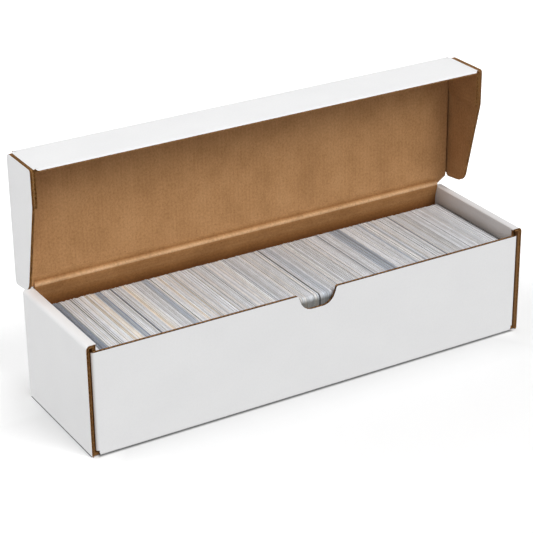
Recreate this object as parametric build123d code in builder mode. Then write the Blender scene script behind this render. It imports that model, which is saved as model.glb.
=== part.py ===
from build123d import *
import os

# Folding storage box for trading cards, made of white-faced corrugated board, open and full.
# Frame: the origin is on the table under the middle of the tray, +X runs along the row of cards,
# +Y points to the hinged back and +Z is up. All lengths are in millimetres.
# The tray is sized from the cards outwards, and the lid from the tray.

# Board and folds
board = 2.0
fold_radius_share = 0.9
fold_radius = board * fold_radius_share

# Cards, standing on their long edges in groups
card_width = 89.0
card_height = 71.0
card_corner = 3.2
card_step = 0.5
row_length = 336.6
group_count = 8
group_gap = 0.3
slabs_per_group = 5
slab_drop_shares = (0.0, 0.6, 0.2, 1.0, 0.4)

# Room round the cards
card_floor_gap = 0.2
card_front_gap = 0.6
card_back_gap = 6.4
card_left_gap = 0.6
card_right_gap = 3.2
card_cover = 4.8

# Double ends: outer wall, tuck flap and inner wall, under a folded-over strip
end_rise = 6.0
tuck_gap = 1.5
layer_gap = 0.3
roll_drop = 2.6
roll_radius_share = 0.9
inner_wall_gap = 0.5

# Tuck flaps of the front and back panels
tuck_meet_gap = 12.0
tuck_drop = 1.5
tuck_floor_gap = 0.3
tuck_corner = 6.0

# Lock tabs of the inner walls, in slots of the bottom
tab_length = 22.0
tab_reach = 1.6
tab_spacing = 50.0
tab_corner = 1.2
slot_clearance = 0.2

# Thumb notch and the relief cuts at the lower corners
notch_width = 31.6
notch_floor_width = 23.4
notch_depth = 12.4
notch_radius = 10.5
notch_lip_radius = 1.6
relief_width = 3.0
relief_height = 7.0

# Upper corners of the back panel, stepped in beside the rolled ends
step_height = 6.5
step_gap = 0.3

# Lid hinge and the room that the lid needs to close over the tray
hinge_rise = 1.7
hinge_gap = 0.3
crease_gap = 0.2
lid_front_gap = 0.6
lid_end_gap = 0.5
lid_corner_cut = 4.0

# Lid flange, end flaps and ears
flange_depth = 38.5
flange_corner = 2.0
flap_inset = 1.0
flap_straight = 27.0
flap_foot = 6.0
flap_foot_depth = 26.0
flap_foot_slant = 3.0
flap_foot_radius = 10.0
flap_bend_radius = 15.0
flap_corner = 2.0
flap_back_foot = 7.0
flap_back_top = 2.5
ear_length = 27.0
ear_gap = 0.3
ear_back_gap = 0.6
ear_front_inset = 1.5
ear_front_corner = 3.0
ear_back_corner = 8.0

# Tray sizes that follow
roll_width = 3 * board + tuck_gap + layer_gap
inner_length = row_length + card_left_gap + card_right_gap
half_length = inner_length / 2 + roll_width
inner_depth = card_width + card_front_gap + card_back_gap
half_depth = inner_depth / 2 + board
front_height = board + card_floor_gap + card_height + card_cover
end_height = front_height + end_rise
wall_height = end_height - roll_drop
panel_half = half_length - board - tuck_gap
tuck_length = (inner_depth - tuck_meet_gap) / 2

# Lid sizes that follow
hinge_y = half_depth - board / 2
hinge_z = end_height + hinge_rise
flange_z = hinge_z + hinge_y + half_depth + lid_front_gap + board / 2
lid_top = flange_z + board / 2
ear_x = half_length + lid_end_gap
flange_half = ear_x - crease_gap
flap_x = ear_x + board + ear_gap
flap_depth = flange_depth - flap_inset
lid_panel_half = flap_x - crease_gap

sides = (("left", -1), ("right", 1))
os.makedirs("parts", exist_ok=True)


def save(piece, name):
    """Label a finished piece and write it under its node name."""
    piece.part.label = name
    export_step(piece.part, f"parts/{name}.step")


# Bottom of the tray, with a slot for each lock tab
with BuildPart() as bottom_panel:
    with BuildSketch():
        Rectangle(2 * (half_length - board), inner_depth)
        slot_x = inner_length / 2 + board / 2
        with GridLocations(2 * slot_x, tab_spacing, 2, 2):
            Rectangle(board + 2 * slot_clearance, tab_length + 2 * slot_clearance, mode=Mode.SUBTRACT)
    extrude(amount=board)
save(bottom_panel, "bottom_panel")


# Front of the tray: lower than the ends, with a thumb notch in its top edge
with BuildPart() as front_panel:
    with BuildSketch(Plane.XZ.offset(half_depth - board)) as front_face:
        with BuildLine():
            Polyline(
                (0, 0),
                (panel_half - relief_width, 0),
                (panel_half, relief_height),
                (panel_half, front_height),
                (notch_width / 2, front_height),
                (notch_floor_width / 2, front_height - notch_depth),
                (0, front_height - notch_depth),
            )
            mirror(about=Plane.YZ)
        make_face()
        notch_floor = front_face.vertices().group_by(Axis.Y)[-2].sort_by(Axis.X)
        fillet((notch_floor[0], notch_floor[-1]), notch_radius)
        top_corners = front_face.vertices().group_by(Axis.Y)[-1].sort_by(Axis.X)
        fillet(top_corners[1:-1], notch_lip_radius)
    extrude(amount=board)
    fillet(front_panel.edges().filter_by(Axis.Z).group_by(Axis.Y)[0], fold_radius)
    fillet(front_panel.edges().filter_by(Axis.X).group_by(Axis.Z)[0].group_by(Axis.Y)[0], fold_radius)
save(front_panel, "front_panel")


# Back of the tray: up to the hinge between the rolled ends, with a round fold along its top
with BuildPart() as back_panel:
    fold_z = hinge_z - board - hinge_gap
    step_x = inner_length / 2 - step_gap
    with BuildSketch(Plane.XZ.offset(-half_depth)):
        with BuildLine():
            Polyline(
                (0, 0),
                (panel_half - relief_width, 0),
                (panel_half, relief_height),
                (panel_half, end_height - step_height),
                (step_x, end_height - step_height),
                (step_x, fold_z),
                (0, fold_z),
            )
            mirror(about=Plane.YZ)
        make_face()
    extrude(amount=board)
    fillet(back_panel.edges().filter_by(Axis.Z).group_by(Axis.Y)[-1].group_by(Axis.Z)[0], fold_radius)
    fillet(back_panel.edges().filter_by(Axis.X).group_by(Axis.Z)[0].group_by(Axis.Y)[-1], fold_radius)
    with BuildSketch(Plane.YZ.offset(-step_x)):
        with Locations((hinge_y, fold_z)):
            Circle(board / 2)
    extrude(amount=2 * step_x)
save(back_panel, "back_panel")


# Double ends of the tray
for side, sign in sides:
    with BuildPart() as outer_wall:
        with BuildSketch(Plane.YZ.offset(sign * (half_length - board / 2))):
            with Locations((0, wall_height / 2)):
                Rectangle(2 * half_depth, wall_height)
        extrude(amount=board / 2, both=True)
        lower_edges = outer_wall.edges().filter_by(Axis.Y).group_by(Axis.Z)[0].sort_by(Axis.X)
        fillet(lower_edges[0 if sign < 0 else -1], fold_radius)
    save(outer_wall, f"{side}_outer_wall")

    with BuildPart() as roll_top:
        with BuildSketch(Plane.XZ.offset(-half_depth)) as roll_face:
            with Locations((sign * (half_length - roll_width / 2), end_height - roll_drop / 2)):
                Rectangle(roll_width, roll_drop)
            fillet(roll_face.vertices().group_by(Axis.Y)[-1], roll_drop * roll_radius_share)
            with Locations((sign * (half_length - roll_width / 2), wall_height)):
                Rectangle(roll_width - 2 * board, 2 * (roll_drop - board), mode=Mode.SUBTRACT)
        extrude(amount=2 * half_depth)
    save(roll_top, f"{side}_roll_top")

    with BuildPart() as inner_wall:
        inner_wall_height = wall_height - board
        with BuildSketch(Plane.YZ.offset(sign * (inner_length / 2 + board / 2))) as inner_face:
            with GridLocations(tab_spacing, 0, 2, 1):
                with Locations((0, board - tab_reach / 2)):
                    Rectangle(tab_length, tab_reach)
            fillet(inner_face.vertices().group_by(Axis.Y)[0], tab_corner)
            with Locations((0, board + inner_wall_height / 2)):
                Rectangle(inner_depth - 2 * inner_wall_gap, inner_wall_height)
        extrude(amount=board / 2, both=True)
    save(inner_wall, f"{side}_inner_wall")


# Tuck flaps of the front and back panels, between the layers of the ends
for side, sign in sides:
    for face, direction in (("front", -1), ("back", 1)):
        with BuildPart() as tuck:
            tuck_floor = board + tuck_floor_gap
            tuck_height = front_height - tuck_drop - tuck_floor
            tuck_y = direction * (inner_depth / 2 - tuck_length / 2)
            with BuildSketch(Plane.YZ.offset(sign * (panel_half - board / 2))) as tuck_face:
                with Locations((tuck_y, tuck_floor + tuck_height / 2)):
                    Rectangle(tuck_length, tuck_height)
                free_end = tuck_face.vertices().group_by(Axis.X)
                fillet(free_end[-1 if direction < 0 else 0], tuck_corner)
            extrude(amount=board / 2, both=True)
        save(tuck, f"{face}_{side}_tuck")


# Lid panel, upright, with a round crease along the hinge
with BuildPart() as lid_panel:
    panel_top = flange_z - board / 2 - crease_gap
    with BuildSketch(Plane.XZ.offset(-hinge_y)):
        with BuildLine():
            Polyline(
                (0, hinge_z),
                (lid_panel_half - lid_corner_cut, hinge_z),
                (lid_panel_half, hinge_z + lid_corner_cut),
                (lid_panel_half, panel_top),
                (0, panel_top),
            )
            mirror(about=Plane.YZ)
        make_face()
    extrude(amount=board / 2, both=True)
    with BuildSketch(Plane.YZ.offset(lid_corner_cut - lid_panel_half)):
        with Locations((hinge_y, hinge_z)):
            Circle(board / 2)
    extrude(amount=2 * (lid_panel_half - lid_corner_cut))
save(lid_panel, "lid_panel")


# Front flange of the lid, level, with a round crease where it meets the lid panel
with BuildPart() as lid_flange:
    with BuildSketch(Plane.YZ.offset(-flange_half)):
        with Locations((hinge_y - flange_depth / 2, flange_z)):
            Rectangle(flange_depth, board)
        with Locations((hinge_y, flange_z)):
            Circle(board / 2)
    extrude(amount=2 * flange_half)
    fillet(lid_flange.edges().filter_by(Axis.Z).group_by(Axis.Y)[0], flange_corner)
save(lid_flange, "lid_flange")


# Tapered end flaps of the lid, and the ears of the flange that tuck inside them
for side, sign in sides:
    with BuildPart() as lid_flap:
        flap_floor = hinge_z + flap_foot
        flap_mid_x = sign * (flap_x + board / 2)
        with BuildSketch(Plane.YZ.offset(flap_mid_x)) as flap_face:
            with BuildLine():
                Polyline(
                    (hinge_y, flap_floor),
                    (hinge_y - flap_foot_depth, flap_floor + flap_foot_slant),
                    (hinge_y - flap_depth, lid_top - flap_straight),
                    (hinge_y - flap_depth, lid_top),
                    (hinge_y, lid_top),
                    close=True,
                )
            make_face()
            fillet(flap_face.vertices().group_by(Axis.Y)[1], flap_foot_radius)
            fillet(flap_face.vertices().sort_by(Axis.X)[:2].sort_by(Axis.Y)[0], flap_bend_radius)
            fillet(flap_face.vertices().group_by(Axis.Y)[-1].sort_by(Axis.X)[0], flap_corner)
            fillet(flap_face.vertices().group_by(Axis.X)[-1].sort_by(Axis.Y)[0], flap_back_foot)
            fillet(flap_face.vertices().group_by(Axis.X)[-1].sort_by(Axis.Y)[-1], flap_back_top)
        extrude(amount=board / 2, both=True)
        with BuildSketch(Plane.XY.offset(flap_floor + flap_back_foot)):
            with Locations((flap_mid_x, hinge_y)):
                Circle(board / 2)
        extrude(amount=lid_top - flap_back_top - flap_floor - flap_back_foot)
    save(lid_flap, f"{side}_lid_flap")

    with BuildPart() as ear:
        ear_fold_z = flange_z - board / 2 - crease_gap / 2
        ear_back = hinge_y - board / 2 - ear_back_gap
        ear_front = hinge_y - flange_depth + ear_front_inset
        ear_depth = ear_back - ear_front
        with BuildSketch(Plane.YZ.offset(sign * (ear_x + board / 2))) as ear_face:
            with Locations((ear_front + ear_depth / 2, ear_fold_z - ear_length / 2)):
                Rectangle(ear_depth, ear_length)
            fillet(ear_face.vertices().group_by(Axis.Y)[0].sort_by(Axis.X)[-1], ear_back_corner)
            fillet(ear_face.vertices().group_by(Axis.Y)[0].sort_by(Axis.X)[0], ear_front_corner)
        extrude(amount=board / 2, both=True)
        with BuildSketch(Plane.XZ.offset(-ear_back)):
            with Locations((sign * ear_x, ear_fold_z)):
                Circle(board)
            with Locations((sign * (ear_x + board / 2), ear_fold_z + board / 2)):
                Rectangle(board, board, mode=Mode.INTERSECT)
        extrude(amount=ear_depth)
    save(ear, f"{side}_ear")


# Cards: each group is a run of slabs that differ a little in height and width
row_start = card_left_gap - inner_length / 2
card_front = card_front_gap - inner_depth / 2
card_floor = board + card_floor_gap
group_thickness = (row_length - (group_count - 1) * group_gap) / group_count
slab_thickness = group_thickness / slabs_per_group
for group in range(group_count):
    group_start = row_start + group * (group_thickness + group_gap)
    with BuildPart() as card_group:
        for slab in range(slabs_per_group):
            drop = card_step * slab_drop_shares[(slab + group) % len(slab_drop_shares)]
            slab_width = card_width - drop
            slab_height = card_height - drop
            with BuildSketch(Plane.YZ.offset(group_start + slab * slab_thickness)):
                with Locations((card_front + slab_width / 2, card_floor + slab_height / 2)):
                    RectangleRounded(slab_width, slab_height, card_corner)
            extrude(amount=slab_thickness)
    save(card_group, f"card_group_{group + 1}")
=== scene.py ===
import math
import random

import bmesh
import bpy
from mathutils import Matrix, Vector


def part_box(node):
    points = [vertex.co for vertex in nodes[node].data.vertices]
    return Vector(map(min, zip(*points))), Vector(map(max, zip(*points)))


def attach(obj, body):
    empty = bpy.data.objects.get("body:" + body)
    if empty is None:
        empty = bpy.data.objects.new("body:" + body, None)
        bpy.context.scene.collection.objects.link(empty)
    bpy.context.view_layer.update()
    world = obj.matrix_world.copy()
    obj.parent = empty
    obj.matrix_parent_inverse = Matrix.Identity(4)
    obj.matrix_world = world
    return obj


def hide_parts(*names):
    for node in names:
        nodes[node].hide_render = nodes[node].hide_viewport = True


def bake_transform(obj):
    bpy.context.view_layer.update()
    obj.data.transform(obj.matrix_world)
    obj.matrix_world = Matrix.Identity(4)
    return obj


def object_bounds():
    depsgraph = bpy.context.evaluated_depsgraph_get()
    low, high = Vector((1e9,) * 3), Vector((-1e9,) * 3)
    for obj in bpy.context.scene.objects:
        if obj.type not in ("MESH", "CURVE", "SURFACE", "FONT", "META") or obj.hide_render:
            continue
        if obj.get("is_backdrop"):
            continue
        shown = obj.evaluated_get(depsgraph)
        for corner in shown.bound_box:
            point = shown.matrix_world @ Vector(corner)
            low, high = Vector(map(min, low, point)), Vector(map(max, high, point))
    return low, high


# Looks of the open card box. Every board piece is built as real corrugated board: a white liner outside,
# a kraft liner inside and a waved sheet between them that shows at the cut edges.
# Lengths in this file are millimetres in the CAD frame, and pieces are scaled to metres when they are made.
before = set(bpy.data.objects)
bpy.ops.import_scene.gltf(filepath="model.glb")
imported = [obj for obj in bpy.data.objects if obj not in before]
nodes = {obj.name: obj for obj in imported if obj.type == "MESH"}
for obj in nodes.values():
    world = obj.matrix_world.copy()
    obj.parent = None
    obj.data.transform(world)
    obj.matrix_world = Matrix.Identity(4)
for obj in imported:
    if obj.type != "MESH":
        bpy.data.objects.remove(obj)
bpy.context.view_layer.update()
mm = 0.001

# Board
board = 2.0
liner = 0.34
medium = 0.36
flute_pitch = 3.2
flute_steps = 8
cut_inset = 0.1
core_low = 0.4
core_gap = 0.05
fold_radius = 1.3
corner_radius = 2.2
# Beyond this share the corners' liner is dark cut-edge brown: painted shade for the gap beside the end walls
corner_white_share = 0.75
crease_radius = 1.0
arc_steps = 6
cut_tolerance = 1e-4
smooth_angle = 32

# Folded shapes that the CAD boxes do not give
notch_width = 31.6
notch_floor_width = 23.4
notch_depth = 12.4
notch_radius = 10.5
notch_lip_radius = 1.6
relief_width = 2.6
relief_low = 2.4
relief_high = 4.0
back_step_height = 6.5
step_gap = 0.05
lid_corner_width = 9.0
lid_corner_rise = 5.0
crease_slit = 1.5
flange_corner = 2.0
press_reach = 2.4
press_share = 0.55
press_steps = 4
flap_straight = 27.0
flap_foot_depth = 21.5
flap_foot_slant = 2.5
flap_foot_radius = 10.0
flap_bend_radius = 15.0
flap_corner = 2.0
flap_back_foot = 2.5
flap_drop = 2.5
flap_back_top = 4.0
ear_front_corner = 3.0
ear_back_corner = 8.0
score_share = 0.4
tuck_corner = 6.0
roll_outer_radius = 3.0
roll_inner_radius = 0.8
tab_length = 22.0
tab_spacing = 50.0
tab_reach = 1.6
tab_corner = 1.0
wall_reach = 0.4
front_bow = 0.35
rim_flare = 0.45
rim_reach = 1.6
lid_bow = 0.5
bow_cuts_x = 12
bow_cuts_z = 6
bow_shares = [step / bow_cuts_z for step in range(bow_cuts_z + 1)]

# Liners over the folds
skin_low = 0.01
skin_high = 0.05
skin_reach = 2.2
skin_steps = 24
crease_dip = 0.5
crease_width = 0.7
bead_height = 2.4
bead_lift = 1.0
bead_upper = 1.3
bead_upper_power = 4
bead_lower = 8.0
bead_depth = 0.3
bead_tail = 22.0
bead_head = 7.0
bead_steps = 64
# Tones along the hinge's inside, as places from the crest and shares of brightness: painted shade darkening
# towards the cards and in a line above the crest, and a crest lighter both from rubbing and as a painted
# highlight
rub_and_shade_places = (-23.0, -17.0, -12.0, -8.5, -1.4, -0.45, 0.6, 1.5, 2.2, 3.2, 5.5)
rub_and_shade_shares = (0.3, 0.4, 0.62, 0.8, 0.79, 1.52, 1.52, 0.95, 0.76, 0.85, 1.0)
rub_and_shade_warmth = (1.0, 1.4, 2.05)

# Cards
card_corner = 3.2
card_rim = 4.0
thinnest_card = 0.42
thickest_card = 0.82
card_gap = 0.05
wide_gap_low = 0.2
wide_gap_high = 0.45
wide_gap_share = 0.28
card_drop = 0.3
lowest_drop = 1.2
card_shift = 0.7
card_seed = 11
# Painted shade on the card edges: darkest this far below the tops, and paler again lower down
shade_start = 0.5
shade_deepest = 4.2
shade_end = 34.0
# Painted shade: cards this wide at the row's right end are dark, standing for the shadowed gap beside the end
# wall
shaded_end_width = 2.3

# Tints of the cards: the first cards in order, weights for the others, and bands at fixed places of the row
grey = (0.80, 0.83, 0.88)
pale = (0.90, 0.93, 0.98)
warm = (0.88, 0.87, 0.86)
cream = (0.90, 0.80, 0.67)
mist = (0.66, 0.71, 0.79)
blue = (0.50, 0.56, 0.65)
slate = (0.25, 0.29, 0.36)
dark = (0.04, 0.045, 0.055)
plain = (grey, grey, pale, warm)
creamy = (cream, cream, pale)
first_tints = (
    ((grey,), 10),
    ((slate,), 5),
    ((dark,), 1),
    ((slate,), 5),
    ((blue,), 2),
    (plain, 13),
    ((slate,), 1),
    (plain, 12),
    (creamy, 15),
    ((blue, slate), 6),
    (plain, 12),
    ((dark,), 1),
    ((slate,), 1),
    (plain, 13),
    (creamy, 6),
    (plain, 20),
    ((blue,), 7),
    (plain, 8),
    (creamy, 8),
)
tints = (grey, pale, warm, cream, blue, slate, dark)
left_weights = (32, 26, 12, 6, 8, 7, 3)
right_weights = (42, 40, 12, 0.4, 4, 4, 1.5)
weight_rate = 2.0
dark_runs = (1, 1, 2)
other_runs = (1, 1, 2, 2, 3, 3, 4)
first_shades = (0.9, 1.08)
run_shades = (0.84, 1.06)
card_shades = (0.86, 1.08)
bands = (
    (3.6, 4.3, dark),
    (7.0, 13.0, mist),
    (65.0, 72.0, blue),
    (72.0, 72.7, slate),
    (118.0, 119.0, slate),
)

# Surfaces: relief of each paper, and how dark the front's cut edge is
white_relief = 0.08
kraft_relief = 0.1
raw_relief = 0.2
card_relief = 0.1
rim_share = 0.38
wave_radians = 20
level_limit = 0.9

# Floor: painted contact shadows in two rectangles under the box's edges, and a painted soft shade in a third.
# Each rectangle is its half length and its fading reach along X, and the same along Y.
contact_shadows = (((171.5, 3.0), (50.0, 2.6)), ((177.85, 0.5), (48.0, 1.5)))
soft_shade = ((150.0, 28.0), (50.0, 36.0))
contact_shadow_stops = ((0.0, 0.2), (0.35, 0.38), (0.7, 0.78), (1.0, 0.97))
shade_stops = ((0.0, 0.82), (0.3, 0.9), (0.6, 0.96), (1.0, 1.0))
floor_half = 12000.0
floor_drop = 0.05
# Painted light: the floor glows brighter towards the back, from glow_start to glow_stop, lifting the box's
# shadow there
floor_glow = 0.28
glow_start = 18.0
glow_stop = 85.0
dome_segments = 48
dome_rings = 24

# Light and camera: lights as (name, strength, softness in degrees, direction they come from)
room_level = 0.467
soft_lights = (
    ("key", 2.05, 40, (0.276, -0.641, 0.716)),
    ("fill", 1.42, 60, (-0.732, 0.578, 0.362)),
)
image_side = 533
focal_pixels = 1850.0
sensor = 36.0
camera_angles = (-30.57, 25.42, -0.65)
camera_place = (-617.2, -1025.4, 645.7)

# Material places on every board piece
WHITE, KRAFT, RAW = range(3)
WHITE_LINER = (KRAFT, WHITE, RAW)
KRAFT_LINER = (KRAFT, KRAFT, RAW)
CORE = (RAW, RAW, RAW)
# Painted shade: a liner whose outer face, white on the real box, is dark cut-edge brown
SHADE_DARK_LINER = (KRAFT, RAW, RAW)
WHITE_SKIN = (RAW, WHITE, WHITE)


# Shader helpers
def add_node(tree, kind, inputs=(), **settings):
    """A shader node with its settings, and with inputs that are values or other nodes' outputs."""
    made = tree.nodes.new(kind)
    for key, value in settings.items():
        setattr(made, key, value)
    for key, value in dict(inputs).items():
        if isinstance(value, bpy.types.NodeSocket):
            tree.links.new(value, made.inputs[key])
        else:
            made.inputs[key].default_value = value
    return made


def new_material(name):
    """An empty material with its node tree and its surface shader."""
    made = bpy.data.materials.new(name)
    made.use_nodes = True
    return made, made.node_tree, made.node_tree.nodes["Principled BSDF"]


def flat_place(tree, source):
    """Place on the flat board: kept with each modelled piece, or the frame's own place on a CAD node."""
    if source == "flat":
        return add_node(tree, "ShaderNodeAttribute", attribute_name="flat").outputs["Vector"]
    return add_node(tree, "ShaderNodeTexCoord").outputs["Object"]


def noise(tree, place, stretch, detail=3.0, roughness=0.5):
    """Noise with its own scale along each axis of the board."""
    stretched = add_node(tree, "ShaderNodeMapping", {"Vector": place, "Scale": stretch})
    inputs = {"Vector": stretched.outputs["Vector"], "Scale": 1.0, "Detail": detail, "Roughness": roughness}
    return add_node(tree, "ShaderNodeTexNoise", inputs).outputs["Fac"]


def ramp(tree, value, stops):
    """Colour ramp from a list of (place, colour)."""
    made = add_node(tree, "ShaderNodeValToRGB", {"Fac": value})
    elements = made.color_ramp.elements
    while len(elements) < len(stops):
        elements.new(1.0)
    for element, (place, colour) in zip(elements, stops):
        element.position = place
        element.color = (*colour, 1.0)
    return made.outputs["Color"]


def grey_ramp(tree, value, stops):
    """Ramp between greys, from a list of (place, level)."""
    return ramp(tree, value, [(place, (level, level, level)) for place, level in stops])


def math_node(tree, operation, first, second):
    """One operation on two values or outputs."""
    return add_node(tree, "ShaderNodeMath", {0: first, 1: second}, operation=operation).outputs["Value"]


def mapped(tree, value, low, high):
    """A value from 0 to 1 stretched to a range."""
    inputs = {"Value": value, "To Min": low, "To Max": high}
    return add_node(tree, "ShaderNodeMapRange", inputs).outputs["Result"]


def mixed(tree, share, first, second, blend="MIX"):
    """Two colours mixed by a share."""
    made = add_node(tree, "ShaderNodeMix", data_type="RGBA", blend_type=blend)
    for socket, value in ((made.inputs[0], share), (made.inputs[6], first), (made.inputs[7], second)):
        if isinstance(value, bpy.types.NodeSocket):
            tree.links.new(value, socket)
        else:
            socket.default_value = value
    return made.outputs[2]


def washboard(tree, place):
    """The flutes' faint ribs, which show through the liners."""
    scale = 2 * math.pi / (wave_radians * flute_pitch * mm)
    inputs = {"Vector": place, "Scale": scale, "Distortion": 0.6, "Detail": 1.0}
    return add_node(tree, "ShaderNodeTexWave", inputs, bands_direction="X").outputs["Fac"]


def bump(tree, shader, height, strength, relief):
    """Relief on the shader's surface."""
    inputs = {"Height": height, "Strength": strength, "Distance": relief * mm}
    made = add_node(tree, "ShaderNodeBump", inputs)
    tree.links.new(made.outputs["Normal"], shader.inputs["Normal"])


# Materials
def white_material(name, source):
    """Clay-coated white liner: faint mottling, paper grain, and the ribs of the flutes."""
    made, tree, shader = new_material(name)
    place = flat_place(tree, source)
    cloud = noise(tree, place, (22, 30, 22), 4.0)
    grain = noise(tree, place, (900, 700, 900), 3.0)
    ribs = washboard(tree, place)
    colour = ramp(tree, cloud, ((0.3, (0.825, 0.825, 0.83)), (0.7, (0.85, 0.85, 0.853))))
    speck = grey_ramp(tree, grain, ((0.3, 0.98), (0.6, 1.0)))
    tree.links.new(mixed(tree, 1.0, colour, speck, "MULTIPLY"), shader.inputs["Base Color"])
    tree.links.new(mapped(tree, cloud, 0.42, 0.58), shader.inputs["Roughness"])
    shader.inputs["Specular IOR Level"].default_value = 0.35
    height = math_node(tree, "ADD", math_node(tree, "MULTIPLY", ribs, 0.5), grain)
    bump(tree, shader, height, 0.12, white_relief)
    return made


def kraft_material(name, source, crest_place=None):
    """Brown kraft liner: clouds, fibres, specks and the flutes' ribs; at a crease, painted shade below and
    above a crest that is lighter both from rubbing and as a painted highlight.
    """
    made, tree, shader = new_material(name)
    place = flat_place(tree, source)
    cloud = noise(tree, place, (45, 30, 45), 5.0, 0.6)
    fibre = noise(tree, place, (760, 560, 760), 4.0, 0.6)
    speck = noise(tree, place, (1300, 1100, 1300), 2.0)
    ribs = washboard(tree, place)
    stops = ((0.25, (0.375, 0.193, 0.077)), (0.5, (0.46, 0.244, 0.102)), (0.78, (0.535, 0.296, 0.133)))
    colour = ramp(tree, cloud, stops)
    streak = ramp(tree, fibre, ((0.3, (0.76, 0.73, 0.69)), (0.62, (1.07, 1.07, 1.07))))
    colour = mixed(tree, 0.8, colour, streak, "MULTIPLY")
    dots = ramp(tree, speck, ((0.27, (0.5, 0.45, 0.4)), (0.36, (1.0, 1.0, 1.0))))
    colour = mixed(tree, 0.75, colour, dots, "MULTIPLY")
    shade = ramp(tree, ribs, ((0.0, (0.955, 0.95, 0.945)), (1.0, (1.0, 1.0, 1.0))))
    colour = mixed(tree, 1.0, colour, shade, "MULTIPLY")
    # Painted shade below the crest and in a line above it, and a crest lighter from rubbing and as a painted
    # highlight
    if crest_place is not None:
        along = add_node(tree, "ShaderNodeSeparateXYZ", {"Vector": place}).outputs["X"]
        start, stop = rub_and_shade_places[0], rub_and_shade_places[-1]
        inputs = {"Value": along, "From Min": (crest_place + start) * mm, "From Max": (crest_place + stop) * mm}
        share = add_node(tree, "ShaderNodeMapRange", inputs).outputs["Result"]
        stops = []
        for rub_and_shade_place, bright in zip(rub_and_shade_places, rub_and_shade_shares):
            stops.append(((rub_and_shade_place - start) / (stop - start), [bright ** power for power in rub_and_shade_warmth]))
        rub_and_shade = ramp(tree, share, stops)
        colour = mixed(tree, 1.0, colour, rub_and_shade, "MULTIPLY")
    tree.links.new(colour, shader.inputs["Base Color"])
    tree.links.new(mapped(tree, fibre, 0.68, 0.9), shader.inputs["Roughness"])
    shader.inputs["Specular IOR Level"].default_value = 0.25
    height = math_node(tree, "ADD", math_node(tree, "MULTIPLY", ribs, 0.8), fibre)
    bump(tree, shader, height, 0.3, kraft_relief)
    return made


def raw_material(name, source, share=1.0):
    """Cut edge of the board: torn brown paper, lighter and darker along its length, darkened by a share."""
    made, tree, shader = new_material(name)
    place = flat_place(tree, source)
    cloud = noise(tree, place, (300, 300, 600), 4.0, 0.65)
    stops = ((0.3, (0.14, 0.062, 0.016)), (0.55, (0.28, 0.136, 0.042)), (0.75, (0.43, 0.233, 0.088)))
    stops = [(stop, [channel * share for channel in colour]) for stop, colour in stops]
    tree.links.new(ramp(tree, cloud, stops), shader.inputs["Base Color"])
    tree.links.new(mapped(tree, cloud, 0.8, 0.95), shader.inputs["Roughness"])
    shader.inputs["Specular IOR Level"].default_value = 0.15
    bump(tree, shader, cloud, 0.5, raw_relief)
    return made


def card_edge_material(top):
    """Cut edges of the cards: each card's own tint, a fine layered grain, smudges, and painted shade that
    darkens them below their tops.
    """
    made, tree, shader = new_material("card_edges")
    place = add_node(tree, "ShaderNodeTexCoord").outputs["Object"]
    tint = add_node(tree, "ShaderNodeAttribute", attribute_name="tint").outputs["Color"]
    grain = noise(tree, place, (6000, 60, 60), 2.0)
    dirt = noise(tree, place, (400, 130, 130), 3.0)
    fine = ramp(tree, grain, ((0.3, (0.80, 0.80, 0.81)), (0.65, (1.08, 1.08, 1.08))))
    smudge = grey_ramp(tree, dirt, ((0.3, 0.88), (0.65, 1.04)))
    colour = mixed(tree, 0.8, tint, fine, "MULTIPLY")
    colour = mixed(tree, 0.8, colour, smudge, "MULTIPLY")
    # Painted shade: the edges darken below the card tops, most a few millimetres down, paler again further
    # down
    height = add_node(tree, "ShaderNodeSeparateXYZ", {"Vector": place}).outputs["Z"]
    inputs = {"Value": height, "From Min": top - shade_end * mm, "From Max": top - shade_start * mm}
    share = add_node(tree, "ShaderNodeMapRange", inputs).outputs["Result"]
    deepest = (shade_end - shade_deepest) / (shade_end - shade_start)
    stops = ((0.0, (0.8, 0.8, 0.79)), (deepest, (0.25, 0.24, 0.215)), (1.0, (1.0, 1.0, 1.0)))
    painted_depth_shade = ramp(tree, share, stops)
    tree.links.new(mixed(tree, 1.0, colour, painted_depth_shade, "MULTIPLY"), shader.inputs["Base Color"])
    tree.links.new(mapped(tree, dirt, 0.5, 0.75), shader.inputs["Roughness"])
    bump(tree, shader, grain, 0.25, card_relief)
    return made


def card_face_material(low, high):
    """Faces of the cards: a pale rim round a plain tinted panel with a fine lattice."""
    made, tree, shader = new_material("card_faces")
    place = add_node(tree, "ShaderNodeTexCoord").outputs["Object"]
    tint = add_node(tree, "ShaderNodeAttribute", attribute_name="tint").outputs["Color"]
    apart = add_node(tree, "ShaderNodeSeparateXYZ", {"Vector": place})
    inside = None
    for axis in (1, 2):
        middle = (low[axis] + high[axis]) / 2
        half = (high[axis] - low[axis]) / 2 - card_rim * mm
        away = math_node(tree, "ABSOLUTE", math_node(tree, "SUBTRACT", apart.outputs[axis], middle), 0.0)
        within = math_node(tree, "LESS_THAN", away, half)
        inside = within if inside is None else math_node(tree, "MULTIPLY", inside, within)
    lattice = []
    for turn in (45, -45):
        inputs = {"Vector": place, "Rotation": (math.radians(turn), 0, 0)}
        turned = add_node(tree, "ShaderNodeMapping", inputs)
        inputs = {"Vector": turned.outputs["Vector"], "Scale": 90.0}
        lattice.append(add_node(tree, "ShaderNodeTexWave", inputs, bands_direction="Y").outputs["Fac"])
    weave = math_node(tree, "MAXIMUM", *lattice)
    panel = ramp(tree, weave, ((0.55, (0.25, 0.3, 0.38)), (0.9, (0.5, 0.55, 0.62))))
    panel = mixed(tree, 0.35, panel, tint)
    rim = (0.74, 0.74, 0.72, 1.0)
    tree.links.new(mixed(tree, inside, rim, panel), shader.inputs["Base Color"])
    tree.links.new(mapped(tree, weave, 0.32, 0.42), shader.inputs["Roughness"])
    return made


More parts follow.
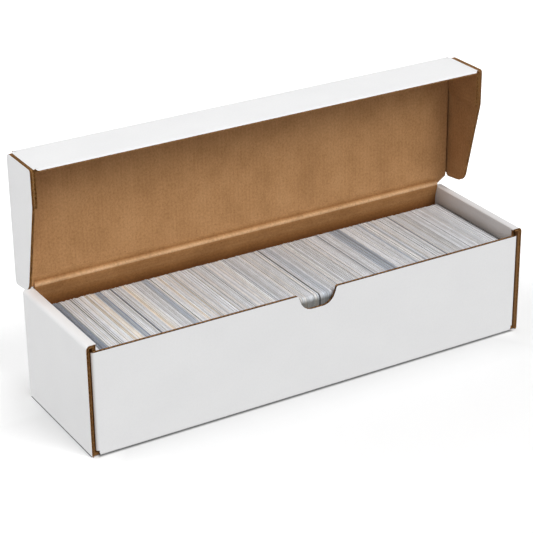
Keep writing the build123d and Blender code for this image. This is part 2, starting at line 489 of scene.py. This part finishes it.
white = white_material("white_liner", "flat")
kraft = kraft_material("kraft_liner", "flat")
raw = raw_material("raw_edge", "flat")
dark_raw = raw_material("raw_edge_front", "flat", rim_share)
BOARD = (white, kraft, raw)


# Flat shapes
def box_mm(node):
    """Lowest and highest corner of a CAD node, in millimetres."""
    low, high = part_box(node)
    return [round(value / mm, 3) for value in (*low, *high)]


def rounded(corners):
    """Outline from corners given as (u, v, radius)."""
    points = []
    for i, (u, v, radius) in enumerate(corners):
        corner = Vector((u, v))
        if not radius:
            points.append((u, v))
            continue
        before = (Vector(corners[i - 1][:2]) - corner).normalized()
        after = (Vector(corners[(i + 1) % len(corners)][:2]) - corner).normalized()
        half = before.angle(after) / 2
        centre = corner + (before + after).normalized() * (radius / math.sin(half))
        start = corner + before * (radius / math.tan(half)) - centre
        stop = corner + after * (radius / math.tan(half)) - centre
        first = math.atan2(start.y, start.x)
        sweep = math.atan2(start.x * stop.y - start.y * stop.x, start.dot(stop))
        for step in range(arc_steps + 1):
            angle = first + sweep * step / arc_steps
            points.append((centre.x + radius * math.cos(angle), centre.y + radius * math.sin(angle)))
    return points


def rectangle(u_low, v_low, u_high, v_high):
    """Outline of a rectangle."""
    return [(u_low, v_low), (u_high, v_low), (u_high, v_high), (u_low, v_high)]


def spread(low, high, count):
    """Places that divide a length into equal runs, without its ends."""
    return [low + (high - low) * step / count for step in range(1, count)]


def plate(outline, low, high, faces, cuts=((), ())):
    """Flat plate between two levels, cut along lines so that it can bend."""
    shell = bmesh.new()
    rings = [[shell.verts.new((u, v, w)) for u, v in outline] for w in (low, high)]
    shell.faces.new(rings[0][::-1]).material_index = faces[0]
    shell.faces.new(rings[1]).material_index = faces[1]
    for i in range(len(outline)):
        side = (rings[0][i - 1], rings[0][i], rings[1][i], rings[1][i - 1])
        shell.faces.new(side).material_index = faces[2]
    for axis, places in enumerate(cuts):
        normal = Vector((1 - axis, axis, 0))
        for place in places:
            geometry = shell.verts[:] + shell.edges[:] + shell.faces[:]
            cut = {"dist": cut_tolerance, "plane_co": normal * place, "plane_no": normal}
            bmesh.ops.bisect_plane(shell, geom=geometry, **cut)
    shell.verts.index_update()
    points = [tuple(vertex.co) for vertex in shell.verts]
    polygons = [[vertex.index for vertex in face.verts] for face in shell.faces]
    indexes = [face.material_index for face in shell.faces]
    shell.free()
    return points, polygons, indexes


def crossing(outline, place):
    """Where an upright line across the outline enters and leaves it."""
    found = []
    for (u_a, v_a), (u_b, v_b) in zip(outline, outline[1:] + outline[:1]):
        if (u_a < place) != (u_b < place):
            share = (place - u_a) / (u_b - u_a)
            found.append(v_a + share * (v_b - v_a))
    return min(found), max(found)


def flutes(outline, shares):
    """Waved sheet between the liners, cut off at the outline, with sections at shares of each wave's length.
    The waves follow each other along u and run along v."""
    low = min(u for u, v in outline) + cut_inset
    high = max(u for u, v in outline) - cut_inset
    count = math.ceil((high - low) / flute_pitch * flute_steps)
    swing = (board - 2 * liner - medium) / 2
    points, polygons = [], []
    for step in range(count + 1):
        place = low + (high - low) * step / count
        start, stop = crossing(outline, place)
        level = board / 2 + swing * math.sin(2 * math.pi * place / flute_pitch)
        start += cut_inset
        stop -= cut_inset
        for share in shares:
            section = start + (stop - start) * share
            for offset in (-medium / 2, medium / 2):
                points.append((place, section, level + offset))
    row = 2 * len(shares)
    for step in range(count):
        a = row * step
        b = a + row
        polygons += [[a, a + 1, b + 1, b], [a + row - 2, b + row - 2, b + row - 1, a + row - 1]]
        for i in range(0, row - 2, 2):
            polygons.append([a + i, b + i, b + i + 2, a + i + 2])
            polygons.append([a + i + 1, a + i + 3, b + i + 3, b + i + 1])
    last = row * count
    for i in range(0, row - 2, 2):
        polygons.append([i, i + 2, i + 3, i + 1])
        polygons.append([last + i, last + i + 1, last + i + 3, last + i + 2])
    return points, polygons, [RAW] * len(polygons)


def layers(outline, cuts=((), ()), inner=None, shares=(0.0, 1.0), outer=WHITE_LINER):
    """Both liners and the waved sheet of one panel; the inner layers may have an outline of their own."""
    inner = inner or outline
    return [
        plate(outline, board - liner, board, outer, cuts),
        plate(inner, 0.0, liner, KRAFT_LINER, cuts),
        flutes(inner, shares),
    ]


# Folded shapes
def path(start, runs):
    """Function from (length along the white face, level in the board) to a place on a folded section.
    It starts along the negative first axis, and each run is (length, turn in degrees).
    The board lies on the left of its white face."""

    def place(length, level):
        point = Vector(start)
        heading = math.pi
        depth = board - level
        for number, (run, turn) in enumerate(runs):
            here = length if number == len(runs) - 1 else min(length, run)
            inward = Vector((-math.sin(heading), math.cos(heading)))
            if turn == 0:
                end = point + Vector((math.cos(heading), math.sin(heading))) * here
                reached = end + inward * depth
            else:
                radius = run / math.radians(turn)
                centre = point + inward * radius
                heading += math.radians(turn) * here / run
                inward = Vector((-math.sin(heading), math.cos(heading)))
                end = centre - inward * radius
                reached = centre - inward * (radius - depth)
            length -= here
            point = end
            if length <= 0:
                break
        return reached

    return place


def fold_layers(length, radius, v_low, v_high, second=None, white_share=0.5):
    """White liner and crushed core of a fold, in lengths along its white face.
    The last share of its liner may have other materials."""
    low = max(core_low, board - radius + core_gap)
    outline = rectangle(0.0, v_low, length, v_high)
    cuts = (spread(0.0, length, arc_steps), ())
    parts = [plate(outline, low, board - liner - core_gap, CORE, cuts)]
    white_length = length * white_share if second else length
    outline = rectangle(0.0, v_low, white_length, v_high)
    cuts = (spread(0.0, white_length, arc_steps), ())
    parts.append(plate(outline, board - liner, board, WHITE_LINER, cuts))
    if second:
        outline = rectangle(white_length, v_low, length, v_high)
        cuts = (spread(white_length, length, arc_steps), ())
        parts.append(plate(outline, board - liner, board, second, cuts))
    return parts


# Making pieces
def add_object(name, data):
    """Object in the scene."""
    made = bpy.data.objects.new(name, data)
    bpy.context.scene.collection.objects.link(made)
    return made


def make_piece(name, body, materials, parts, stands_for=(), colours=()):
    """Mesh object from parts given as ((points, polygons, materials), shape), riding on a body."""
    points, flats, polygons, indexes = [], [], [], []
    for (flat, faces, used), shape in parts:
        base = len(points)
        points += [Vector(shape(*place)) * mm for place in flat]
        flats += [Vector(place) * mm for place in flat]
        polygons += [[base + i for i in face] for face in faces]
        indexes += used
    mesh = bpy.data.meshes.new(name)
    mesh.from_pydata(points, [], polygons)
    for material in materials:
        mesh.materials.append(material)
    mesh.polygons.foreach_set("material_index", indexes)
    flat = mesh.attributes.new("flat", "FLOAT_VECTOR", "POINT")
    flat.data.foreach_set("vector", [value for place in flats for value in place])
    if colours:
        tint = mesh.attributes.new("tint", "FLOAT_COLOR", "POINT")
        tint.data.foreach_set("color", colours)
    shell = bmesh.new()
    shell.from_mesh(mesh)
    bmesh.ops.recalc_face_normals(shell, faces=shell.faces)
    shell.to_mesh(mesh)
    shell.free()
    mesh.polygons.foreach_set("use_smooth", [True] * len(mesh.polygons))
    mesh.set_sharp_from_angle(angle=math.radians(smooth_angle))
    made = add_object(name, mesh)
    if body:
        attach(made, body)
    if stands_for:
        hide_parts(*stands_for)
    return made


def board_piece(name, body, parts, node):
    """Board piece that stands for a CAD node."""
    return make_piece(name, body, BOARD, parts, (node,))


def shaped(parts, shape):
    """Parts that share one shape."""
    return [(part, shape) for part in parts]


sides = (("left", -1), ("right", 1))

# Front and back of the tray
_, front_y, _, panel_half, front_inner, front_top = box_mm("front_panel")
fold_x = panel_half - corner_radius
fold_length = fold_radius * math.pi / 2
corner_length = corner_radius * math.pi / 2
half_turn = math.pi * crease_radius


def bowed(x, z, half, low, high):
    """Share of a panel's bow: nothing at its ends and its foot, most at the middle of its top."""
    rise = (z - low) / (high - low)
    return max(0.0, 1 - (x / half) ** 2) * max(0.0, rise) ** 2


def front_shape(x, z, w):
    flare = rim_flare * (1 - w / board) * max(0.0, 1 - (front_top - z) / rim_reach)
    return x, front_inner + flare - w - front_bow * bowed(x, z, fold_x, 0.0, front_top), z


notch = [
    (notch_width / 2, front_top, notch_lip_radius),
    (notch_floor_width / 2, front_top - notch_depth, notch_radius),
    (-notch_floor_width / 2, front_top - notch_depth, notch_radius),
    (-notch_width / 2, front_top, notch_lip_radius),
]


def panel_foot(top):
    """Lower outline of the front or back panel, with its relief cuts, up to the given height."""
    half = panel_half - relief_width
    return [(-half, fold_radius, 0), (half, fold_radius, 0), (fold_x, relief_low, 0), (fold_x, top, 0)]


def inner_foot(top):
    """Lower outline of the layers inside the white liner."""
    half = fold_x - liner
    return [(-half, board, 0), (half, board, 0), (half, top, 0)]


front_outline = rounded(panel_foot(front_top) + notch + [(-fold_x, front_top, 0), (-fold_x, relief_low, 0)])
front_inside = rounded(inner_foot(front_top) + notch + [(liner - fold_x, front_top, 0)])
rise_cuts = spread(0.0, front_top, bow_cuts_z) + [front_top - rim_reach]
front_cuts = (spread(-fold_x, fold_x, bow_cuts_x), rise_cuts)
front_shares = bow_shares[:-1] + [1 - rim_reach / front_top, 1.0]
front_parts = shaped(layers(front_outline, front_cuts, front_inside, front_shares), front_shape)
*_, back_y, back_high = box_mm("back_panel")
back_top = back_high - crease_radius
back_inner = back_y - board
step_x = box_mm("right_inner_wall")[0] - step_gap
step_z = box_mm("right_roll_top")[5] - back_step_height


def back_shape(x, z, w):
    return x, back_inner + w, z


def mirrored(corners):
    """Corners of the right half, with the left half after them."""
    return corners + [(-u, v, radius) for u, v, radius in reversed(corners)]


back_edge = [(step_x, step_z, 0), (step_x, back_top, 0)]
back_outline = rounded(mirrored(panel_foot(step_z)[1:] + back_edge))
back_inside = rounded(mirrored(inner_foot(step_z)[1:] + back_edge))
back_parts = shaped(layers(back_outline, inner=back_inside), back_shape)
for parts, face_y, direction, top in ((front_parts, front_y, -1, front_top), (back_parts, back_y, 1, step_z)):
    for side, sign in sides:
        corner = path((-fold_x, abs(face_y)), ((corner_length, 90),))

        def corner_shape(s, z, w, corner=corner, sign=sign, direction=direction):
            a, b = corner(s, w)
            return -sign * a, direction * b, z

        # Painted shade: the last share of each corner's liner is dark core brown
        turn_parts = fold_layers(corner_length, corner_radius, relief_high, top, CORE, corner_white_share)
        parts += shaped(turn_parts, corner_shape)
    foot = path((fold_radius, abs(face_y)), ((fold_length, 90),))

    def foot_shape(s, x, w, foot=foot, direction=direction):
        a, b = foot(s, w)
        return x, direction * b, a

    half = panel_half - relief_width
    parts += shaped(fold_layers(fold_length, fold_radius, -half, half), foot_shape)
crown = path((-back_top, back_y), ((half_turn, 180),))


def crown_shape(s, x, w):
    a, b = crown(s, w)
    return x, b, -a


back_parts += shaped(fold_layers(half_turn, crease_radius, -step_x, step_x, KRAFT_LINER), crown_shape)
front_materials = (white, kraft, dark_raw)
make_piece("front_board", "tray", front_materials, front_parts, ("front_panel",))
board_piece("back_board", "tray", back_parts, "back_panel")

# Tuck flaps between the layers of the ends
for side, sign in sides:
    for face, direction in (("front", -1), ("back", 1)):
        node = f"{face}_{side}_tuck"
        x0, y0, z0, x1, y1, z1 = box_mm(node)
        inner_x = min(abs(x0), abs(x1))
        near, far = min(abs(y0), abs(y1)), max(abs(y0), abs(y1))
        corners = [(near, z0, tuck_corner), (far, z0, 0), (far, z1, 0), (near, z1, tuck_corner)]

        def tuck_shape(y, z, w, sign=sign, direction=direction, inner_x=inner_x):
            return sign * (inner_x + w), direction * y, z

        # Painted shade: the tucks' outer face is dark brown, so the gap beside the end walls reads as shadow
        tuck_parts = layers(rounded(corners), outer=SHADE_DARK_LINER)
        board_piece(f"{node}_board", "tray", shaped(tuck_parts, tuck_shape), node)

# Double ends: outer wall, rolled top and inner wall follow one folded section
for side, sign in sides:
    x0, y0, _, x1, y1, _ = box_mm(f"{side}_outer_wall")
    *_, roll_z = box_mm(f"{side}_roll_top")
    inside = box_mm(f"{side}_inner_wall")
    inner_low, inner_high = inside[1] - wall_reach, inside[4] + wall_reach
    outer_x = max(abs(x0), abs(x1))
    inner_x = min(abs(inside[0]), abs(inside[3]))
    outer_arc = roll_outer_radius * math.pi / 2
    inner_arc = roll_inner_radius * math.pi / 2
    roll_flat = outer_x - inner_x - roll_outer_radius - roll_inner_radius
    wall_run = roll_z - roll_outer_radius - fold_radius
    start = (fold_radius - outer_x, 0.0)
    runs = (
        (fold_length, -90),
        (wall_run, 0),
        (outer_arc, -90),
        (roll_flat, 0),
        (inner_arc, -90),
        (roll_z, 0),
    )
    section = path(start, runs)

    def end_shape(s, y, w, section=section, sign=sign):
        a, b = section(s, 2 * board - w)
        return -sign * a, y, b

    roll_start = fold_length + wall_run
    roll_stop = roll_start + outer_arc + roll_flat + inner_arc
    wall_parts = layers(rectangle(fold_length, y0, roll_start, y1))
    wall_parts += fold_layers(fold_length, fold_radius, y0, y1)
    board_piece(f"{side}_outer_wall_board", "tray", shaped(wall_parts, end_shape), f"{side}_outer_wall")
    cuts = spread(roll_start, roll_start + outer_arc, arc_steps) + [roll_start + outer_arc]
    cuts += [roll_stop - inner_arc] + spread(roll_stop - inner_arc, roll_stop, arc_steps)
    butt = roll_stop - inner_arc - (board - roll_inner_radius) - core_gap
    roll_inside = rectangle(roll_start, y0, butt, y1)
    roll_parts = layers(rectangle(roll_start, y0, roll_stop, y1), (cuts, ()), roll_inside)
    board_piece(f"{side}_roll_top_board", "tray", shaped(roll_parts, end_shape), f"{side}_roll_top")
    foot = roll_stop + roll_z - roll_inner_radius - inside[2] - tab_reach
    corners = [(roll_stop, inner_low, 0), (roll_stop, inner_high, 0), (foot, inner_high, 0)]
    for middle in (tab_spacing / 2, -tab_spacing / 2):
        high = middle + tab_length / 2
        low = middle - tab_length / 2
        corners += [(foot, high, 0), (foot + tab_reach, high, tab_corner)]
        corners += [(foot + tab_reach, low, tab_corner), (foot, low, 0)]
    corners.append((foot, inner_low, 0))
    inner_parts = layers(rounded(corners))
    board_piece(f"{side}_inner_wall_board", "tray", shaped(inner_parts, end_shape), f"{side}_inner_wall")

# Bottom of the tray keeps its CAD shape, with a material for each face
bottom = nodes["bottom_panel"].data
bottom.materials.clear()
for material in (
    white_material("white_liner_bottom", "frame"),
    kraft_material("kraft_liner_bottom", "frame"),
    raw_material("raw_edge_bottom", "frame"),
):
    bottom.materials.append(material)
for polygon in bottom.polygons:
    up = polygon.normal.z
    polygon.material_index = KRAFT if up > level_limit else WHITE if up < -level_limit else RAW

# Lid panel with the round crease of its hinge
_, lid_y, lid_z, lid_half, lid_back, lid_top = box_mm("lid_panel")
hinge_z = lid_z + crease_radius
hinge_y = lid_back - crease_radius


def lid_shape(x, z, w):
    share = max(0.0, 1 - (x / lid_half) ** 2) * math.sin(math.pi * (z - hinge_z) / (lid_top - hinge_z))
    return x, lid_y + w + lid_bow * share, z


cut = lid_half - lid_corner_width
side_z = hinge_z + lid_corner_rise
lid_outline = [(-cut, hinge_z), (cut, hinge_z), (lid_half, side_z), (lid_half, lid_top)]
lid_outline += [(-lid_half, lid_top), (-lid_half, side_z)]
lid_cuts = (spread(-lid_half, lid_half, bow_cuts_x), spread(hinge_z, lid_top, bow_cuts_z))
slit = lid_half - crease_slit
lid_inside = [(-cut, hinge_z), (cut, hinge_z), (slit, side_z), (slit, lid_top)]
lid_inside += [(-slit, lid_top), (-slit, side_z)]
lid_parts = shaped(layers(lid_outline, lid_cuts, lid_inside, bow_shares), lid_shape)
lid_crease = path((hinge_z, lid_back), ((half_turn, 180),))


def lid_crease_shape(s, x, w):
    a, b = lid_crease(s, w)
    return x, b, a


lid_parts += shaped(fold_layers(half_turn, crease_radius, -cut, cut, KRAFT_LINER), lid_crease_shape)
board_piece("lid_board", "lid", lid_parts, "lid_panel")

# Front flange of the lid
_, flange_front, flange_low, flange_half, flange_back, flange_high = box_mm("lid_flange")


def flange_shape(x, y, w):
    press = press_share * max(0.0, 1 - (y - flange_front) / press_reach) ** 2
    return x, y, flange_low + w * (1 - press)


crease_y = flange_back - crease_radius
corners = [(-flange_half, flange_front, flange_corner), (flange_half, flange_front, flange_corner)]
corners += [(flange_half, crease_y, 0), (-flange_half, crease_y, 0)]
press_cuts = [flange_front + press_reach * (step + 1) / press_steps for step in range(press_steps)]
press_span = press_reach / (crease_y - flange_front)
press_shares = [press_span * step / press_steps for step in range(press_steps + 1)]
flange_layers = layers(rounded(corners), ((), press_cuts), shares=press_shares + [1.0])
flange_parts = shaped(flange_layers, flange_shape)
flange_crease = path((-crease_y, flange_high), ((half_turn, 180),))


def flange_crease_shape(s, x, w):
    a, b = flange_crease(s, w)
    return x, -a, b


crease_parts = fold_layers(half_turn, crease_radius, -flange_half, flange_half, KRAFT_LINER)
flange_parts += shaped(crease_parts, flange_crease_shape)
board_piece("flange_board", "flange", flange_parts, "lid_flange")

# End flaps and ears
for side, sign in sides:
    node = f"{side}_lid_flap"
    x0, flap_front, flap_low, x1, flap_back, flap_high = box_mm(node)
    flap_low -= flap_drop
    flap_inner = min(abs(x0), abs(x1))
    flap_crease_y = flap_back - crease_radius
    corners = [
        (flap_crease_y, flap_low, flap_back_foot),
        (flap_crease_y, flap_high, flap_back_top),
        (flap_front, flap_high, flap_corner),
        (flap_front, flap_high - flap_straight, flap_bend_radius),
        (flap_crease_y - flap_foot_depth, flap_low + flap_foot_slant, flap_foot_radius),
    ]

    def flap_shape(y, z, w, sign=sign, flap_inner=flap_inner):
        return sign * (flap_inner + w), y, z

    flap_parts = shaped(layers(rounded(corners)), flap_shape)
    flap_crease = path((-flap_crease_y, flap_inner + board), ((half_turn, 180),))

    def flap_crease_shape(s, z, w, sign=sign, flap_crease=flap_crease):
        a, b = flap_crease(s, w)
        return sign * b, -a, z

    flap_span = (flap_low + flap_back_foot, flap_high - flap_back_top)
    crease_parts = fold_layers(half_turn, crease_radius, *flap_span, KRAFT_LINER)
    flap_parts += shaped(crease_parts, flap_crease_shape)
    board_piece(f"{side}_flap_board", f"{side}_flap", flap_parts, node)

    node = f"{side}_ear"
    x0, ear_front, ear_low, x1, ear_back, ear_high = box_mm(node)
    ear_inner = min(abs(x0), abs(x1))
    ear_arc = board * math.pi / 2
    ear_runs = ((ear_arc, 90), (ear_high - board - ear_low, 0))
    ear_path = path((-ear_inner, ear_high), ear_runs)

    def ear_shape(s, y, w, sign=sign, ear_path=ear_path):
        a, b = ear_path(s, w)
        return -sign * a, y, b

    reach = ear_arc + ear_high - board - ear_low
    corners = [(0.0, ear_front, 0), (reach, ear_front, ear_front_corner)]
    corners += [(reach, ear_back, ear_back_corner), (0.0, ear_back, 0)]
    ear_cuts = spread(0.0, ear_arc, arc_steps) + [ear_arc]
    ear_parts = layers(rounded(corners), (ear_cuts, ()))[1:]
    scored = rectangle(0.0, ear_front, ear_arc, ear_back)
    ear_parts.append(plate(scored, board - liner, board, CORE, (spread(0.0, ear_arc, arc_steps), ())))
    corners[0] = (ear_arc, ear_front, 0)
    corners[-1] = (ear_arc, ear_back, 0)
    ear_parts.append(plate(rounded(corners), board - liner, board, WHITE_LINER))
    board_piece(f"{side}_ear_board", node, shaped(ear_parts, ear_shape), node)


# Liners that run on over the folds; left and right are alike
def fold_skin(name, start, runs, shape, span, bend):
    """Thin strip of white liner over a fold."""
    strip = path(start, runs)
    length = sum(run for run, turn in runs)
    cuts = (spread(0.0, length, skin_steps), ())
    outline = rectangle(0.0, span[0], length, span[1])
    part = plate(outline, board + skin_low, board + skin_high, WHITE_SKIN, cuts)

    def skin_shape(s, along, w):
        return shape(along, *strip(s, w))

    made = make_piece(name, None, BOARD, shaped([part], skin_shape))
    [Vector(point) * mm for point in bend]
    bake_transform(made)


def level_fold(x, a, b):
    return x, b, -a


def dipped_fold(x, a, b):
    away = (-a - (hinge_z + back_top) / 2) / crease_width
    return x, b - crease_dip * math.exp(-away ** 2), -a


hinge_runs = ((hinge_z + skin_reach - back_top + skin_reach, 0),)
hinge_start = (skin_reach - back_top, back_y)
hinge_bend = ((0.0, hinge_y, hinge_z - skin_reach), (0.0, hinge_y, hinge_z + skin_reach))
hinge_span = (-step_x, step_x)
fold_skin("hinge_outside", hinge_start, hinge_runs, dipped_fold, hinge_span, hinge_bend)
round_run = (crease_radius * math.pi / 2, 90)
flange_runs = ((skin_reach, 0), round_run, (skin_reach, 0))
flange_z = flange_high - crease_radius
flange_bend = ((0.0, flange_back, flange_z - crease_radius), (0.0, crease_y - crease_radius, flange_high))
flange_start = (skin_reach - flange_z, flange_back)
flange_span = (-flange_half, flange_half)
fold_skin("flange_outside", flange_start, flange_runs, level_fold, flange_span, flange_bend)
for side, sign in sides:
    flap_x = flap_inner + board - crease_radius

    def side_fold(z, a, b, sign=sign):
        return -sign * a, b, z

    bend_start = (sign * (flap_x - crease_radius), flap_back, 0.0)
    bend_stop = (sign * (flap_x + crease_radius), flap_crease_y - crease_radius, 0.0)
    flap_bend = (bend_start, bend_stop)
    flap_start = (skin_reach - flap_x, flap_back)
    fold_skin(f"{side}_flap_outside", flap_start, flange_runs, side_fold, flap_span, flap_bend)

    def ear_fold(y, a, b, sign=sign):
        return -sign * a, y, b

    ear_radius = flange_high - (ear_high - board)
    ear_runs = ((skin_reach, 0), (score_share * ear_radius * math.pi / 2, score_share * 90))
    ear_start = (skin_reach - ear_inner, flange_high)
    bend_start = (sign * ear_inner, 0.0, flange_high)
    bend_stop = (sign * (ear_inner + board), 0.0, ear_high - board)
    ear_bend = (bend_start, bend_stop)
    ear_span = (ear_front, ear_back)
    fold_skin(f"{side}_ear_outside", ear_start, ear_runs, ear_fold, ear_span, ear_bend)


# Inside of the hinge: the kraft liner bulges where it is creased
def bead_shape(z, x, w):
    rise = z - hinge_z - bead_lift
    fall = (rise / bead_upper) ** bead_upper_power if rise > 0 else (rise / bead_lower) ** 2
    bulge = bead_height * math.exp(-fall)
    return x, lid_y + bead_depth - w * (bead_depth + skin_high + bulge), z


bead_low, bead_high = hinge_z - bead_tail, hinge_z + bead_head
bead_cuts = (spread(bead_low, bead_high, bead_steps), ())
bead = plate(rectangle(bead_low, -step_x, bead_high, step_x), 0.0, 1.0, (RAW, KRAFT, KRAFT), bead_cuts)
# The hinge's kraft has painted shade towards the cards and above the crest, and a crest lighter from rubbing
# and as a painted highlight
rub_and_shade_kraft = kraft_material("kraft_liner_crease_rub_and_shade", "flat", hinge_z + bead_lift)
bead_materials = (white, rub_and_shade_kraft, raw)
bead_piece = make_piece("hinge_inside", None, bead_materials, shaped([bead], bead_shape))
[Vector(point) * mm for point in hinge_bend]
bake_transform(bead_piece)

# Cards: every group is a run of single cards that differ in thickness, height, place and tint
card_names = [f"card_group_{number}" for number in range(1, 9)]
row_end = box_mm(card_names[-1])[3]
# Painted shade: the last cards at the right end are dark, standing for the shadowed gap beside the end wall
bands += ((row_end - shaded_end_width, row_end, dark),)
draw = random.Random(card_seed)
card_faces = card_face_material(*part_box(card_names[0]))
card_edges = card_edge_material(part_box(card_names[0])[1][2])
row_share = [0.0]


def card_runs():
    """Endless (tint, brightness) of the cards from left to right, by the share of the row behind them."""
    for colours, run in first_tints:
        for card in range(run):
            yield draw.choice(colours), draw.uniform(*first_shades)
    while True:
        share = min(1.0, weight_rate * row_share[0])
        weights = [a + (b - a) * share for a, b in zip(left_weights, right_weights)]
        colour = draw.choices(tints, weights)[0]
        run = draw.choice(dark_runs if colour in (dark, slate) else other_runs)
        brightness = draw.uniform(*run_shades)
        for card in range(run):
            yield colour, brightness * draw.uniform(*card_shades)


def card_shape(y, z, x):
    return x, y, z


card_tints = card_runs()
for number, node in enumerate(card_names):
    x0, y0, z0, x1, y1, z1 = box_mm(node)
    row_share[0] = number / (len(card_names) - 1)
    parts, colours = [], []
    start = x0
    while start < x1 - thinnest_card:
        stop = min(start + draw.uniform(thinnest_card, thickest_card), x1)
        if stop > x1 - thinnest_card:
            stop = x1
        top = z1 - min(abs(draw.gauss(0.0, card_drop)), lowest_drop)
        low = y0 + draw.uniform(0.0, card_shift)
        high = y1 - draw.uniform(0.0, card_shift)
        corners = [(low, z0, card_corner), (high, z0, card_corner)]
        corners += [(high, top, card_corner), (low, top, card_corner)]
        wide = draw.uniform(wide_gap_low, wide_gap_high)
        gap = wide if draw.random() < wide_gap_share and stop - start > 2 * wide else card_gap
        part = plate(rounded(corners), start, stop - gap, (0, 0, 1))
        colour, brightness = next(card_tints)
        middle = (start + stop) / 2
        for band_low, band_high, band_colour in bands:
            colour = band_colour if band_low < middle < band_high else colour
        shade = [min(1.0, channel * brightness) for channel in colour]
        parts.append((part, card_shape))
        colours += [*shade, 1.0] * len(part[0])
        start = stop
    make_piece(f"{node}_cards", node, (card_faces, card_edges), parts, (node,), colours)

# Floor, with painted contact shadows and soft shade round the box, painted light glowing brighter behind it,
# and lit without giving light back
floor_mesh = bpy.data.meshes.new("floor")
outline = rectangle(-floor_half, -floor_half, floor_half, floor_half)
floor_mesh.from_pydata([Vector((x, y, -floor_drop)) * mm for x, y in outline], [], [(0, 1, 2, 3)])
floor = add_object("floor", floor_mesh)
paper, paper_tree, paper_shader = new_material("floor_paper")
apart = add_node(paper_tree, "ShaderNodeSeparateXYZ", {"Vector": flat_place(paper_tree, "frame")})


def outside(sizes):
    """Share of the way out from a rectangle on the floor: nothing inside it, one beyond its reach."""
    shares = []
    for axis, (half, reach) in enumerate(sizes):
        away = math_node(paper_tree, "ABSOLUTE", apart.outputs[axis], 0.0)
        inputs = {"Value": away, "From Min": half * mm, "From Max": (half + reach) * mm}
        shares.append(add_node(paper_tree, "ShaderNodeMapRange", inputs).outputs["Result"])
    return math_node(paper_tree, "MAXIMUM", *shares)


# Painted contact shadows under the box's edges and a painted soft shade round its front and back
nearest = math_node(paper_tree, "MINIMUM", *[outside(sizes) for sizes in contact_shadows])
painted_contact_shadow = grey_ramp(paper_tree, nearest, contact_shadow_stops)
painted_soft_shade = grey_ramp(paper_tree, outside(soft_shade), shade_stops)
paper_colour = mixed(paper_tree, 1.0, painted_contact_shadow, painted_soft_shade, "MULTIPLY")
paper_tree.links.new(paper_colour, paper_shader.inputs["Base Color"])
paper_tree.links.new(paper_colour, paper_shader.inputs["Emission Color"])
# Painted light: emission that rises towards the back of the floor
inputs = {"Value": apart.outputs["Y"], "From Min": glow_start * mm, "From Max": glow_stop * mm}
inputs["To Max"] = floor_glow
glow = add_node(paper_tree, "ShaderNodeMapRange", inputs).outputs["Result"]
paper_tree.links.new(glow, paper_shader.inputs["Emission Strength"])
paper_shader.inputs["Roughness"].default_value = 0.9
paper_shader.inputs["Specular IOR Level"].default_value = 0.1
floor_mesh.materials.append(paper)
floor.visible_diffuse = False
floor.visible_shadow = False
floor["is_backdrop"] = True

# White backdrop that only the camera sees
dome_mesh = bpy.data.meshes.new("backdrop")
shell = bmesh.new()
sizes = {"u_segments": dome_segments, "v_segments": dome_rings, "radius": floor_half * mm}
bmesh.ops.create_uvsphere(shell, **sizes)
shell.to_mesh(dome_mesh)
shell.free()
dome = add_object("backdrop", dome_mesh)
bright, _, bright_shader = new_material("backdrop_white")
bright_shader.inputs["Base Color"].default_value = (0.0, 0.0, 0.0, 1.0)
bright_shader.inputs["Specular IOR Level"].default_value = 0.0
bright_shader.inputs["Emission Color"].default_value = (1.0, 1.0, 1.0, 1.0)
bright_shader.inputs["Emission Strength"].default_value = 1.0
dome_mesh.materials.append(bright)
dome.visible_diffuse = False
dome.visible_glossy = False
dome.visible_transmission = False
dome.visible_shadow = False
dome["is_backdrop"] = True

# Light: an even pale room, a soft key from the front right and a weaker one from the back left
world = bpy.data.worlds.new("studio")
bpy.context.scene.world = world
world.use_nodes = True
room = world.node_tree.nodes["Background"].inputs["Color"]
room.default_value = (room_level, room_level, room_level, 1.0)
bpy.context.scene.view_settings.view_transform = "Standard"
for name, energy, softness, direction in soft_lights:
    light = bpy.data.lights.new(name, "SUN")
    light.energy = energy
    light.angle = math.radians(softness)
    lamp = add_object(name, light)
    lamp.rotation_euler = Vector(direction).to_track_quat("Z", "Y").to_euler()

# Camera at the photograph's angle
yaw, pitch, roll = (math.radians(angle) for angle in camera_angles)
level = Vector((math.cos(yaw), math.sin(yaw), 0.0))
forward = Vector((-math.sin(yaw) * math.cos(pitch), math.cos(yaw) * math.cos(pitch), -math.sin(pitch)))
upright = level.cross(forward)
right = level * math.cos(roll) + upright * math.sin(roll)
up = upright * math.cos(roll) - level * math.sin(roll)
camera_data = bpy.data.cameras.new("camera")
camera_data.sensor_width = sensor
camera_data.lens = sensor * focal_pixels / image_side
camera = add_object("camera", camera_data)
turned = Matrix((right, up, -forward)).transposed().to_4x4()
camera.matrix_world = Matrix.Translation(Vector(camera_place) * mm) @ turned
bpy.context.scene.camera = camera

# Bounds of the shown scene, without the floor and backdrop
bpy.context.view_layer.update()
low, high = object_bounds()
